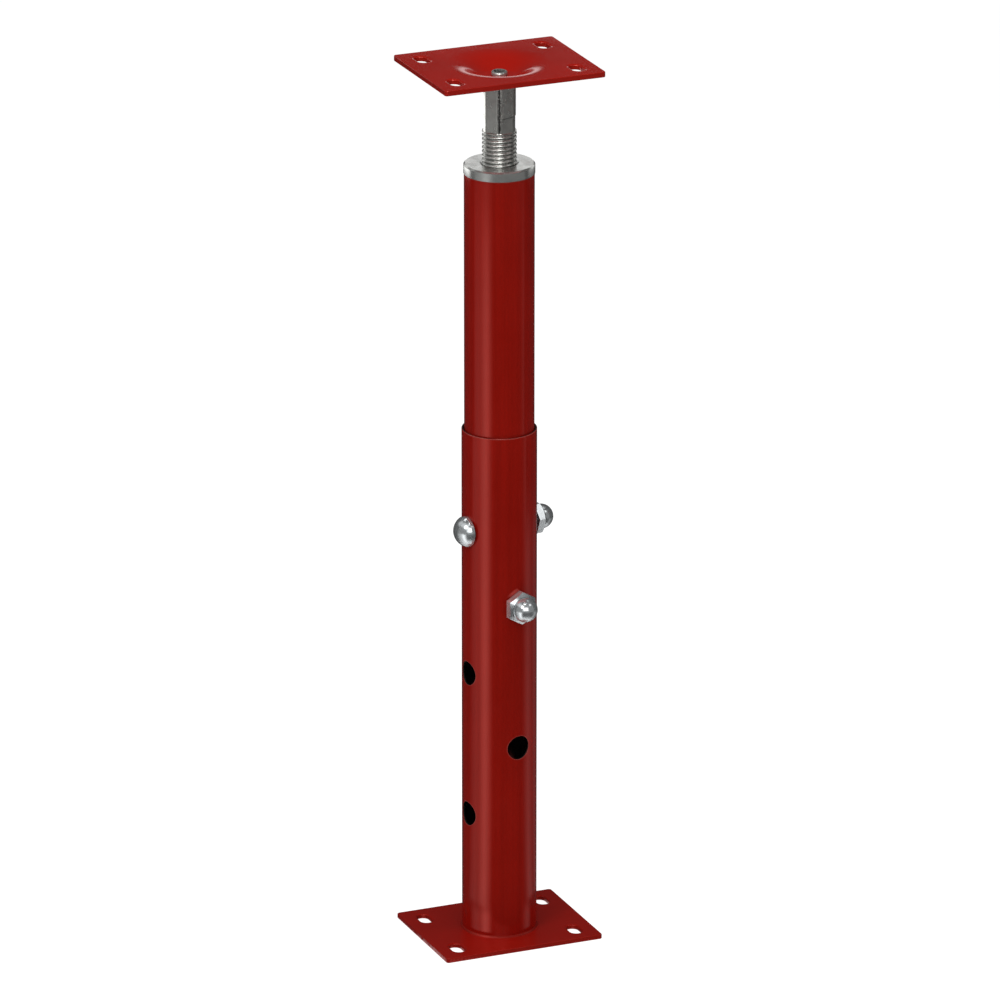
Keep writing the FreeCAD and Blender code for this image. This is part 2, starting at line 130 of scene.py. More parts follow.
# Screw mesh attribute: the seam's dark mark, and painted shade in the thread's roots, along the ledge and in
# the tip's hollow
SEAM_AND_SHADE = "seam_and_shade"
SHADED_BARE_STEEL = (0.022, 0.020, 0.019, 1.0)
CREVICE_SHADE_TONE = (0.030, 0.030, 0.028, 1.0)
EDGE_HIGHLIGHT_TONE = (0.40, 0.11, 0.095, 1.0)
PAINT_GLINT = (1.0, 0.24, 0.20, 1.0)
BORE_FADE = 0.2 * MM
CREVICE_SHADE_REACH = 1.6 * MM


def darker(colour, share):
    return tuple(part * share for part in colour[:3]) + (1.0,)


def edge_share(tree, place, reach):
    """1 on sharp edges, 0 away from them by more than reach; uneven along the edge."""
    rounded = add_node(tree, "ShaderNodeBevel", {"Radius": reach}, samples=4).outputs["Normal"]
    flat = add_node(tree, "ShaderNodeNewGeometry").outputs["Normal"]
    same = add_node(tree, "ShaderNodeVectorMath", {0: rounded, 1: flat}, operation="DOT_PRODUCT")
    sharp = ramp_value(tree, same.outputs["Value"], 0.99, 0.92)
    uneven = ramp_value(tree, grain(tree, place, scale=60.0, detail=2.0), 0.3, 0.6, 0.7, 1.0)
    return calculate(tree, "MULTIPLY", sharp, uneven)


def crevice_shade(tree, reach):
    """Share of painted shade: 1 deep in narrow gaps, 0 on open surfaces."""
    open_share = add_node(tree, "ShaderNodeAmbientOcclusion", {"Distance": reach}, samples=8).outputs["AO"]
    return ramp_value(tree, open_share, 0.35, 0.8, 1.0, 0.0)


def make_paint(name, deep, bright, rough, edge=None, drawn=False, bore=None):
    """Red enamel: slow drift of tone, dust specks and orange peel. With edge, a (reach, strength), sharp
    edges get a lighter painted highlight. A drawn tube has faint lines along it, and closer to its axis than
    bore, bare steel darkened to near black as painted shade."""
    material, tree, place, shader = new_material(name)
    drift = grain(tree, place, scale=16.0, detail=3.0)
    colour = blend_colour(tree, ramp_value(tree, drift, 0.3, 0.7), deep, bright)
    speck = ramp_value(tree, grain(tree, place, scale=900.0, detail=1.0), 0.62, 0.8, 0.0, 0.25)
    colour = blend_colour(tree, speck, colour, darker(deep, 0.6))
    if drawn:
        lines = grain(tree, place, scale=260.0, detail=2.0, stretch=(1.0, 1.0, 0.012))
        faint = ramp_value(tree, lines, 0.35, 0.7, 0.0, 0.45)
        colour = blend_colour(tree, faint, colour, darker(deep, 0.8))
    else:
        lines = grain(tree, place, scale=120.0, detail=2.0)
    if edge:
        reach, strength = edge
        # Painted highlight: lighter paint on sharp edges, such as the holes' rims
        edge_highlight = calculate(tree, "MULTIPLY", edge_share(tree, place, reach), strength)
        colour = blend_colour(tree, edge_highlight, colour, EDGE_HIGHLIGHT_TONE)
    # Bare steel inside the bore, darkened to near black as painted shade
    if bore:
        inside = ramp_value(tree, axis_distance(tree, place), bore, bore - BORE_FADE)
        colour = blend_colour(tree, inside, colour, SHADED_BARE_STEEL)
    peel = grain(tree, place, scale=650.0, detail=1.0)
    normal = bump(tree, peel, strength=0.05, distance=0.3 * MM)
    normal = bump(tree, lines, strength=0.04, distance=0.5 * MM, under=normal)
    scuff = grain(tree, place, scale=45.0, detail=5.0)
    roughness = ramp_value(tree, scuff, 0.3, 0.75, rough - 0.02, rough + 0.03)
    connect(tree, shader, Base_Color=colour, Roughness=roughness, Normal=normal,
            Specular_IOR_Level=1.0, Specular_Tint=PAINT_GLINT)
    return material


def make_plating(name, tone, rough):
    """Bright plating: faint cloudiness, fine polishing scratches, and painted shade in the gaps."""
    material, tree, place, shader = new_material(name)
    cloud = grain(tree, place, scale=110.0, detail=3.0)
    colour = blend_colour(tree, ramp_value(tree, cloud, 0.35, 0.75, 0.0, 0.6), tone, darker(tone, 0.8))
    # Painted shade: darker where ambient occlusion finds narrow gaps
    colour = blend_colour(tree, crevice_shade(tree, CREVICE_SHADE_REACH), colour, CREVICE_SHADE_TONE)
    scratches = grain(tree, place, scale=700.0, detail=3.0, stretch=(1.0, 0.2, 0.6))
    normal = bump(tree, scratches, strength=0.04, distance=0.1 * MM)
    roughness = ramp_value(tree, cloud, 0.3, 0.8, rough, rough + 0.08)
    connect(tree, shader, Base_Color=colour, Roughness=roughness, Normal=normal, Metallic=0.8)
    return material


def make_turned(name, tone, rough):
    """Zinc-plated turned face: rings from the lathe tool about the post's axis, and a cloudy plating."""
    material, tree, place, shader = new_material(name)
    wander = grain(tree, place, scale=30.0, detail=2.0)
    track = calculate(tree, "ADD", calculate(tree, "MULTIPLY", axis_distance(tree, place), 1400.0), wander)
    rings = add_node(tree, "ShaderNodeTexNoise", {"W": track, "Scale": 4.0, "Detail": 2.0},
                     noise_dimensions="1D").outputs["Fac"]
    cloud = grain(tree, place, scale=90.0, detail=4.0)
    colour = blend_colour(tree, ramp_value(tree, cloud, 0.35, 0.7, 0.0, 0.7), tone, darker(tone, 0.8))
    normal = bump(tree, rings, strength=0.10, distance=0.1 * MM)
    fine = grain(tree, place, scale=500.0, detail=2.0)
    normal = bump(tree, fine, strength=0.04, distance=0.1 * MM, under=normal)
    roughness = ramp_value(tree, cloud, 0.3, 0.8, rough, rough + 0.1)
    tangent = add_node(tree, "ShaderNodeTangent", direction_type="RADIAL", axis="Z").outputs["Tangent"]
    connect(tree, shader, Base_Color=colour, Roughness=roughness, Normal=normal, Metallic=0.8,
            Anisotropic=0.3, Tangent=tangent)
    return material


def make_screw_steel(name, tone, seam_and_shade_tone):
    """Bare rolled steel: cloudy grey with fine pressing marks, and dark where the mesh carries the seam's
    mark and painted shade.
    """
    material, tree, place, shader = new_material(name)
    cloud = grain(tree, place, scale=140.0, detail=4.0)
    colour = blend_colour(tree, ramp_value(tree, cloud, 0.35, 0.7, 0.0, 0.8), tone, darker(tone, 0.78))
    seam_and_shade = add_node(tree, "ShaderNodeAttribute", attribute_name=SEAM_AND_SHADE).outputs["Fac"]
    colour = blend_colour(tree, seam_and_shade, colour, seam_and_shade_tone)
    marks = grain(tree, place, scale=420.0, detail=3.0, stretch=(1.0, 1.0, 0.25))
    normal = bump(tree, marks, strength=0.03, distance=0.2 * MM)
    dents = grain(tree, place, scale=70.0, detail=2.0)
    normal = bump(tree, dents, strength=0.05, distance=1.0 * MM, under=normal)
    roughness = ramp_value(tree, cloud, 0.3, 0.8, 0.20, 0.32)
    connect(tree, shader, Base_Color=colour, Roughness=roughness, Normal=normal, Metallic=0.7)
    return material


# Meshes

def smooth_step(low, high, number):
    share = min(max((number - low) / (high - low), 0.0), 1.0)
    return share * share * (3.0 - 2.0 * share)


def add_object(name, vertices, faces, material):
    mesh = bpy.data.meshes.new(name)
    mesh.from_pydata(vertices, [], faces)
    mesh.materials.append(material)
    made = bpy.data.objects.new(name, mesh)
    scene.collection.objects.link(made)
    return made


def make_piece(name, vertices, faces, material, sharp_degrees):
    """Smooth-shaded piece with sharp edges where faces meet at more than the given angle."""
    piece = add_object(name, vertices, faces, material)
    piece.data.shade_smooth()
    piece.data.set_sharp_from_angle(angle=math.radians(sharp_degrees))
    return piece


def lathe_faces(rings, count):
    """Quads between rings of count vertices each, and a fan at both ends to the two vertices after them."""
    faces = []
    for ring in range(rings - 1):
        for step in range(count):
            after = (step + 1) % count
            low, high = ring * count, (ring + 1) * count
            faces.append((low + step, low + after, high + after, high + step))
    first, last = rings * count, rings * count + 1
    top = (rings - 1) * count
    for step in range(count):
        after = (step + 1) % count
        faces.append((first, after, step))
        faces.append((last, top + step, top + after))
    return faces


# Screw levels and radii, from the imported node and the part's own sizes

SCREW_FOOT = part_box("jack_screw")[0].z
SCREW_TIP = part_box("jack_screw")[1].z
THREAD_TOP = SCREW_FOOT + 150.0 * MM
SHANK_TOP = SCREW_FOOT + 201.0 * MM
CREST = 17.45 * MM
LEAD = 25.4 / 6 * MM
THREAD_DEPTH = 1.2 * MM
THREAD_STEPS = 14
# Painted shade in the thread's roots, at most
THREAD_ROOT_SHADE = 0.6
FOOT_CHAMFER = 2.4 * MM
FOOT_START = 3.0 * MM
RUN_OUT = 2.6 * MM
RUN_OUT_END = 0.3 * MM
CORNER = 17.1 * MM
FLAT = 15.85 * MM
FLAT_STEPS = 6
CORNER_STEPS = 10
SHANK_TURN = math.radians(37.0)
SHANK_STEP = 0.35 * MM
NECK = 6.3 * MM
TIP = 8.3 * MM
TIP_FOOT = SCREW_TIP - 4.2 * MM
CUP = 5.5 * MM
CUP_DEPTH = 3.0 * MM
# Painted shade in the hollow of the tip, and on its floor
CUP_SHADE = 0.8
CUP_FLOOR_SHADE = 0.9

# Rings between thread and shank: where they start, their step and number, and where one form takes over.
# Then where the rings of the shank start and stop, and its top edge, as insets and depths below the top
JOIN_FOOT = THREAD_TOP - 1.2 * MM
JOIN_STEP = 0.15 * MM
JOIN_RINGS = 12
JOIN_FROM = THREAD_TOP - 0.45 * MM
JOIN_TO = THREAD_TOP + 0.35 * MM
SHANK_FOOT = THREAD_TOP + 0.9 * MM
SHANK_END = SHANK_TOP - 0.7 * MM
SHANK_EDGE = ((0.1 * MM, 0.5 * MM), (0.6 * MM, 0.0))

# Marks on the shank: shallow dents, a rough seam along one corner, and a low ledge that starts beside it
DENT = 0.05 * MM
DENT_RADIUS = 16.0
DENT_SCALE = 0.16
SEAM_TURN = SHANK_TURN + math.radians(300.0)
SEAM_HALF = math.radians(6.2)
SEAM_DEPTH = 0.15 * MM
LEDGE_LEVEL = SCREW_FOOT + 165.3 * MM
LEDGE_RISE = 1.3 * MM
LEDGE_RUN = math.radians(45.0)
LEDGE_PROUD = 0.6 * MM
LEDGE_SOFT = 0.3 * MM
# Width of the dark line of painted shade along the ledge
LEDGE_SHADE = 0.5 * MM
LEDGE_START = (math.radians(9.0), math.radians(13.0))
LEDGE_STOP = (math.radians(115.0), math.radians(95.0))


def screw_angles():
    """Turn of each column of vertices; there are columns on both edges of every flat and on each corner."""
    edge = math.acos(FLAT / CORNER)
    gap = 2 * (math.pi / 6 - edge)
    turns = []
    for side in range(6):
        middle = SHANK_TURN + math.radians(30.0 + 60.0 * side)
        turns += [middle + edge * (part / FLAT_STEPS) for part in range(-FLAT_STEPS, FLAT_STEPS + 1)]
        turns += [middle + edge + gap * (part / CORNER_STEPS) for part in range(1, CORNER_STEPS)]
    return turns


def groove(turn, level):
    """Depth of the rolled thread's groove, 0 on the crest and 1 in the root; a right-hand helix."""
    phase = (level - SCREW_FOOT) / LEAD - turn / FULL_TURN
    return 0.5 + 0.5 * math.cos(FULL_TURN * phase)


def thread_point(turn, level):
    """Radius and painted shade in the groove on the thread, which runs out at its top and is chamfered at its
    foot.
    """
    run_out = smooth_step(THREAD_TOP + RUN_OUT_END, THREAD_TOP - RUN_OUT, level)
    start = smooth_step(SCREW_FOOT, SCREW_FOOT + FOOT_START, level)
    chamfer = max(0.0, SCREW_FOOT + FOOT_CHAMFER - level)
    depth = groove(turn, level) * run_out * start
    return CREST - THREAD_DEPTH * depth - chamfer, THREAD_ROOT_SHADE * depth ** 1.5


def seam_share(from_seam, level):
    """How deep the seam is here, 0 to 1; its width and depth wander, so that it looks broken."""
    along = level / MM
    half = SEAM_HALF * (0.8 + 0.5 * noise.noise(Vector((along * 0.5, 3.1, 0.0))))
    aside = SEAM_HALF * 0.3 * noise.noise(Vector((along * 0.3, 8.4, 0.0)))
    broken = smooth_step(-1.0, -0.1, noise.noise(Vector((along * 0.42, 0.0, 5.2))))
    return max(0.0, 1.0 - ((from_seam - aside) / half) ** 2) * broken


def shank_point(turn, level):
    """Radius and darkening on the hexagon, which keeps the bar's round at its corners: the seam's mark, and
    painted shade along the ledge.
    """
    spin = (turn - SHANK_TURN) % FULL_TURN
    offset = spin % (math.pi / 3) - math.pi / 6
    where = Vector((math.cos(turn) * DENT_RADIUS, math.sin(turn) * DENT_RADIUS, level / MM))
    flat = FLAT / math.cos(offset) + DENT * noise.noise(where * DENT_SCALE)
    from_seam = (turn - SEAM_TURN + math.pi) % FULL_TURN - math.pi
    beside = smooth_step(*LEDGE_START, from_seam) * smooth_step(*LEDGE_STOP, from_seam)
    line = LEDGE_LEVEL + LEDGE_RISE * (from_seam - LEDGE_START[1]) / LEDGE_RUN
    proud = beside * smooth_step(line - LEDGE_SOFT, line + LEDGE_SOFT, level)
    # A dark line of painted shade along the ledge's step
    shade = beside * math.exp(-((level - line) / LEDGE_SHADE) ** 2)
    seam = seam_share(from_seam, level)
    radius = min(flat, CORNER) + LEDGE_PROUD * proud - SEAM_DEPTH * seam
    return radius, min(1.0, seam + shade)


def join_point(turn, level):
    """Radius and darkening, the seam's mark and painted shade, where the thread's end goes over into the
    hexagon.
    """
    share = smooth_step(JOIN_FROM, JOIN_TO, level)
    below, below_shade = thread_point(turn, level)
    above, above_seam_and_shade = shank_point(turn, level)
    radius = (1 - share) * below + share * min(above, below)
    return radius, (1 - share) * below_shade + share * above_seam_and_shade


def screw_rings(turns):
    """Rings of (radius, darkening, level) from the screw's foot to the floor of the hollow in its tip. The
    darkening is the seam's mark and painted shade.
    """
    rings = []
    step = LEAD / THREAD_STEPS
    for index in range(int((JOIN_FOOT - SCREW_FOOT) / step) + 1):
        level = SCREW_FOOT + index * step
        rings.append([thread_point(turn, level) + (level,) for turn in turns])
    for index in range(1, JOIN_RINGS + 1):
        level = JOIN_FOOT + index * JOIN_STEP
        rings.append([join_point(turn, level) + (level,) for turn in turns])
    level = SHANK_FOOT
    while level < SHANK_END:
        rings.append([shank_point(turn, level) + (level,) for turn in turns])
        level += SHANK_STEP
    for inset, below in SHANK_EDGE:
        rings.append([(shank_point(turn, SHANK_TOP)[0] - inset, 0.0, SHANK_TOP - below) for turn in turns])
    outside = (
        (NECK + 0.4 * MM, SHANK_TOP), (NECK, SHANK_TOP + 0.4 * MM), (NECK, TIP_FOOT),
        (TIP - 0.5 * MM, TIP_FOOT), (TIP, TIP_FOOT + 0.6 * MM), (TIP - 0.1 * MM, SCREW_TIP - 1.6 * MM),
        (TIP - 0.5 * MM, SCREW_TIP - 0.6 * MM), (TIP - 1.3 * MM, SCREW_TIP),
        (CUP + 0.4 * MM, SCREW_TIP - 0.05 * MM))
    hollow = (
        (CUP, SCREW_TIP - 0.5 * MM), (CUP - 0.9 * MM, SCREW_TIP - 2.2 * MM),
        (CUP - 2.0 * MM, SCREW_TIP - CUP_DEPTH))
    for profile, seam_and_shade in ((outside, 0.0), (hollow, CUP_SHADE)):
        rings += [[(radius, seam_and_shade, level)] * len(turns) for radius, level in profile]
    return rings


def make_screw(material):
    """Jack screw: rolled thread, hexagonal shank, neck, and peened tip with its hollow."""
    turns = screw_angles()
    rings = screw_rings(turns)
    vertices, seam_and_shade_values = [], []
    for ring in rings:
        for turn, (radius, seam_and_shade, level) in zip(turns, ring):
            vertices.append((radius * math.cos(turn), radius * math.sin(turn), level))
            seam_and_shade_values.append(seam_and_shade)
    vertices += [(0.0, 0.0, SCREW_FOOT), (0.0, 0.0, SCREW_TIP - CUP_DEPTH)]
    seam_and_shade_values += [0.0, CUP_FLOOR_SHADE]
    faces = lathe_faces(len(rings), len(turns))
    piece = make_piece("screw", vertices, faces, material, sharp_degrees=40.0)
    # Per-vertex share of the seam's mark and of painted shade
    piece.data.attributes.new(SEAM_AND_SHADE, "FLOAT", "POINT").data.foreach_set("value", seam_and_shade_values)
    return piece


# Weld bead: steps round the tube, points across, ripples in a turn, and how far it sinks in at its toes.
# Then its size, how much that wanders and ripples, and its bulge, all as shares of the weld's leg

WELD_STEPS = 300
WELD_ACROSS = 9
WELD_RIPPLES = 84.0
WELD_SINK = 0.02 * MM
WELD_SIZE = 0.86
WELD_WANDER = 0.07
WELD_RIPPLE = 0.02
WELD_BULGE = 0.07
BULGE_RIPPLE = 0.22


def make_weld(material):
    """Small fillet bead round the tube's foot, with soft ripples under the paint."""
    low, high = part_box("base_weld")
    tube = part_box("outer_tube")[1].x
    leg = high.z - low.z
    vertices, faces = [], []
    for step in range(WELD_STEPS):
        turn = FULL_TURN * step / WELD_STEPS
        wander = noise.noise(Vector((math.cos(turn) * 3.0, math.sin(turn) * 3.0, 1.7)))
        ripple = math.cos(turn * WELD_RIPPLES + 2.0 * wander)
        size = leg * (WELD_SIZE + WELD_WANDER * wander + WELD_RIPPLE * ripple)
        points = [(tube - WELD_SINK, low.z - WELD_SINK)]
        for part in range(WELD_ACROSS):
            share = part / (WELD_ACROSS - 1)
            bulge = WELD_BULGE * leg * math.sin(math.pi * share) * (1.0 + BULGE_RIPPLE * ripple)
            points.append((tube + size * (1 - share) + bulge, low.z + size * share + bulge))
        points[1] = (points[1][0], low.z - WELD_SINK)
        points[-1] = (tube - WELD_SINK, points[-1][1])
        vertices += [(radius * math.cos(turn), radius * math.sin(turn), level) for radius, level in points]
    ring = WELD_ACROSS + 1
    for step in range(WELD_STEPS):
        here, after = step * ring, (step + 1) % WELD_STEPS * ring
        for part in range(ring):
            onward = (part + 1) % ring
            faces.append((here + part, after + part, after + onward, here + onward))
    return make_piece("weld_bead", vertices, faces, material, sharp_degrees=60.0)


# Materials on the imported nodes, and the two pieces made here

PAINT_DEEP = (0.32, 0.0074, 0.0034, 1.0)
PAINT_BRIGHT = (0.36, 0.0086, 0.0042, 1.0)
WELD_SHADE_SHARE = 0.7
PLATING_TONE = (0.72, 0.755, 0.77, 1.0)
ZINC_TONE = (0.57, 0.58, 0.56, 1.0)
SCREW_TONE = (0.45, 0.455, 0.430, 1.0)
SEAM_AND_SHADE_TONE = (0.032, 0.031, 0.029, 1.0)
OUTER_BORE = 37.7 * MM
INNER_BORE = 35.0 * MM
# Reach and strength of the painted highlight on sharp edges
PLATE_EDGE = (0.5 * MM, 0.22)
TUBE_EDGE = (1.5 * MM, 0.8)
base_paint = make_paint("base_plate_paint", PAINT_DEEP, PAINT_BRIGHT, rough=0.30, edge=PLATE_EDGE)
top_paint = make_paint("top_plate_paint", PAINT_DEEP, PAINT_BRIGHT, rough=0.14, edge=PLATE_EDGE)
# The weld's paint is a darker copy of the red: painted shade against the light that its bead catches
weld_paint = make_paint("weld_paint", darker(PAINT_DEEP, WELD_SHADE_SHARE), darker(PAINT_BRIGHT, WELD_SHADE_SHARE),
                        rough=0.45)
outer_paint = make_paint("outer_tube_paint", PAINT_DEEP, PAINT_BRIGHT, rough=0.15, edge=TUBE_EDGE,
                         drawn=True, bore=OUTER_BORE)
inner_paint = make_paint("inner_tube_paint", PAINT_DEEP, PAINT_BRIGHT, rough=0.15, edge=TUBE_EDGE,
                         drawn=True, bore=INNER_BORE)
bright_plating = make_plating("bright_plating", PLATING_TONE, rough=0.17)
zinc_plating = make_turned("zinc_plating", ZINC_TONE, rough=0.18)
screw_steel = make_screw_steel("screw_steel", SCREW_TONE, SEAM_AND_SHADE_TONE)

node_materials = {
    "base_plate": base_paint, "top_plate": top_paint, "outer_tube": outer_paint, "inner_tube": inner_paint,
    "upper_bolt": bright_plating, "lower_bolt": bright_plating,
    "upper_cap_nut": bright_plating, "lower_cap_nut": bright_plating, "threaded_collar": zinc_plating,
}
for node_name, material in node_materials.items():
    for material_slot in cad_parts[node_name].material_slots:
        material_slot.material = material

screw = make_screw(screw_steel)
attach(screw, "screw")
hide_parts("jack_screw")

weld = make_weld(weld_paint)
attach(weld, "post")
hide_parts("base_weld")


# Camera, at the photograph's viewing angle

CAMERA_WAY = Vector((0.86867, -0.36605, 0.33381))
CAMERA_TARGET = Vector((0.0, 0.0, 0.457))
CAMERA_DISTANCE = 9.0
CAMERA_TURN = math.degrees(math.atan2(CAMERA_WAY.y, CAMERA_WAY.x))
camera_data = bpy.data.cameras.new("camera")
camera_data.sensor_width = 36.0
camera_data.lens = 321.4
camera_data.shift_x = 0.0007
camera_data.shift_y = 0.0076
camera_data.clip_end = 100.0
camera = bpy.data.objects.new("camera", camera_data)
camera.location = CAMERA_TARGET + CAMERA_WAY * CAMERA_DISTANCE
camera.rotation_mode = "QUATERNION"
camera.rotation_quaternion = (-CAMERA_WAY).to_track_quat("-Z", "Y")
scene.collection.objects.link(camera)
scene.camera = camera


# Floor, world and lamps. Here and for the cards, a turn is in degrees from the photograph's side of the post,
# positive to the right

FLOOR_HALF = 30.0
FLOOR_LEVEL = -0.1 * MM
FLOOR_TONE = (0.86, 0.86, 0.86, 1.0)
AIM_LEVEL = 0.5


def seen_directly(tree):
    """1 for rays from the camera and for mirrored or transmitted ones, 0 for light that is scattered."""
    path = add_node(tree, "ShaderNodeLightPath").outputs
    either = calculate(tree, "MAXIMUM", path["Is Camera Ray"], path["Is Glossy Ray"])
    return calculate(tree, "MAXIMUM", either, path["Is Transmission Ray"])


def bare_material(name):
    """Material with an empty node tree, which isn't sampled as a lamp."""
    material = bpy.data.materials.new(name)
    material.use_nodes = True
    material.node_tree.nodes.clear()
    material.cycles.emission_sampling = "NONE"
    return material


def make_world(fill):
    """White where it is seen directly, and light of the given strength elsewhere."""
    world = bpy.data.worlds.new("studio")
    world.use_nodes = True
    tree = world.node_tree
    tree.nodes.clear()
    light = add_node(tree, "ShaderNodeBackground", {"Color": WHITE, "Strength": fill})
    white = add_node(tree, "ShaderNodeBackground", {"Color": WHITE, "Strength": 1.0})
    mix = add_node(tree, "ShaderNodeMixShader", {
        0: seen_directly(tree), 1: light.outputs[0], 2: white.outputs[0]})
    add_node(tree, "ShaderNodeOutputWorld", {"Surface": mix.outputs[0]})
    scene.world = world


def make_floor(glow, catch):
    """Pale floor. What is seen of it directly is a white glow plus the light that it catches, less the
    shadow."""
    material = bare_material("floor_white")
    tree = material.node_tree
    lit = add_node(tree, "ShaderNodeBsdfDiffuse", {"Color": FLOOR_TONE})
    white = add_node(tree, "ShaderNodeEmission", {"Color": WHITE, "Strength": glow})
    caught = add_node(tree, "ShaderNodeBsdfDiffuse", {"Color": (catch, catch, catch, 1.0)})
    shown = add_node(tree, "ShaderNodeAddShader", {0: white.outputs[0], 1: caught.outputs[0]})
    mix = add_node(tree, "ShaderNodeMixShader", {
        0: seen_directly(tree), 1: lit.outputs[0], 2: shown.outputs[0]})
    add_node(tree, "ShaderNodeOutputMaterial", {"Surface": mix.outputs[0]})
    corners = [(x * FLOOR_HALF, y * FLOOR_HALF, FLOOR_LEVEL) for x, y in ((-1, -1), (1, -1), (1, 1), (-1, 1))]
    floor = add_object("floor", corners, [(0, 1, 2, 3)], material)


def make_lamp(name, turn, distance, level, width, radiance, mirrored):
    """Square soft box. One that isn't mirrored lights the object but shows in no reflection."""
    data = bpy.data.lights.new(name, "AREA")
    data.shape = "SQUARE"
    data.size = width
    data.energy = radiance * math.pi * width * width
    angle = math.radians(CAMERA_TURN + turn)
    place = Vector((distance * math.cos(angle), distance * math.sin(angle), level))
    lamp = bpy.data.objects.new(name, data)
    lamp.location = place
    lamp.rotation_mode = "QUATERNION"
    lamp.rotation_quaternion = (Vector((0.0, 0.0, AIM_LEVEL)) - place).to_track_quat("-Z", "Y")
    lamp.visible_camera = False
    lamp.visible_glossy = mirrored
    scene.collection.objects.link(lamp)


# Cards that are seen only as reflections, as reflectors and flags stand round a product in a studio. A panel
# is a lighter patch of a card; start and stop are levels, or distances from the post's axis

Panel = namedtuple("Panel", "turn half_width softness start stop radiance")
CARD_STEPS = 72
LEVEL_SOFT = 0.01
REACH_SOFT = 0.12
BELOW_ALL = -1.0
ABOVE_ALL = 9.0
ALL_ROUND = 400.0


def soft_edge(tree, source, middle, soft, rising):
    """0 to 1 across an edge of the given softness, or 1 to 0 where it isn't rising."""
    made = add_node(tree, "ShaderNodeMapRange", {
        "Value": source, "From Min": middle - soft, "From Max": middle + soft,
        "To Min": 0.0 if rising else 1.0, "To Max": 1.0 if rising else 0.0}, interpolation_type="SMOOTHSTEP")
    return made.outputs["Result"]


def card_glow(tree, by_level, base, panels):
    """Radiance of a card: base all over, plus its panels, from level to level or else by distance."""
    if not panels:
        return base
    place = add_node(tree, "ShaderNodeNewGeometry").outputs["Position"]
    axes = add_node(tree, "ShaderNodeSeparateXYZ", {"Vector": place}).outputs
    reach = axes["Z"] if by_level else axis_distance(tree, place)
    soft = LEVEL_SOFT if by_level else REACH_SOFT
    turn = calculate(tree, "DEGREES", calculate(tree, "ARCTAN2", axes["Y"], axes["X"]))
    total = base
    for panel in panels:
        away = calculate(tree, "SUBTRACT", turn, CAMERA_TURN + panel.turn)
        away = add_node(tree, "ShaderNodeMath", {0: away, 1: 180.0, 2: -180.0}, operation="WRAP").outputs[0]
        away = calculate(tree, "ABSOLUTE", away)
        glow = soft_edge(tree, away, panel.half_width, panel.softness, rising=False)
        glow = calculate(tree, "MULTIPLY", glow, soft_edge(tree, reach, panel.start, soft, rising=True))
        glow = calculate(tree, "MULTIPLY", glow, soft_edge(tree, reach, panel.stop, soft, rising=False))
        glow = calculate(tree, "MULTIPLY", glow, panel.radiance)
        total = calculate(tree, "ADD", glow, total)
    return total


def make_card(name, strips, middle, half_width, base=0.0, panels=(), by_level=True, clear=False):
    """Strips of revolution about the post, each between two (radius, level) rings, over a range of turns.
    A clear one is seen through, and glows only towards the post."""
    material = bare_material(name)
    tree = material.node_tree
    strength = card_glow(tree, by_level, base, panels)
    if clear:
        outer_side = add_node(tree, "ShaderNodeNewGeometry").outputs["Backfacing"]
        strength = calculate(tree, "MULTIPLY", strength, calculate(tree, "SUBTRACT", 1.0, outer_side))
    surface = add_node(tree, "ShaderNodeEmission", {"Strength": strength}).outputs[0]
    if clear:
        film = add_node(tree, "ShaderNodeBsdfTransparent").outputs[0]
        surface = add_node(tree, "ShaderNodeAddShader", {0: film, 1: surface}).outputs[0]
    add_node(tree, "ShaderNodeOutputMaterial", {"Surface": surface})
    vertices, faces = [], []
    for strip in strips:
        first = len(vertices)
        for step in range(CARD_STEPS + 1):
            turn = math.radians(CAMERA_TURN + middle + half_width * (2.0 * step / CARD_STEPS - 1.0))
            vertices += [(radius * math.cos(turn), radius * math.sin(turn), level) for radius, level in strip]
        for step in range(CARD_STEPS):
            corner = first + 2 * step
            faces.append((corner, corner + 1, corner + 3, corner + 2))
    card = add_object(name, vertices, faces, material)
    card.visible_camera = False
    card.visible_diffuse = False
    card.visible_transmission = False
    card.visible_shadow = False


def upright(radius, low, high):
    return [((radius, low), (radius, high))]


make_world(fill=0.3)
make_floor(glow=0.84, catch=0.5)
make_lamp("key", turn=-33.0, distance=1.75, level=1.95, width=0.8, radiance=5.95, mirrored=True)
make_lamp("fill", turn=75.0, distance=1.9, level=1.0, width=0.8, radiance=0.5, mirrored=False)
make_lamp("overhead", turn=20.0, distance=0.35, level=2.6, width=1.6, radiance=3.05, mirrored=False)

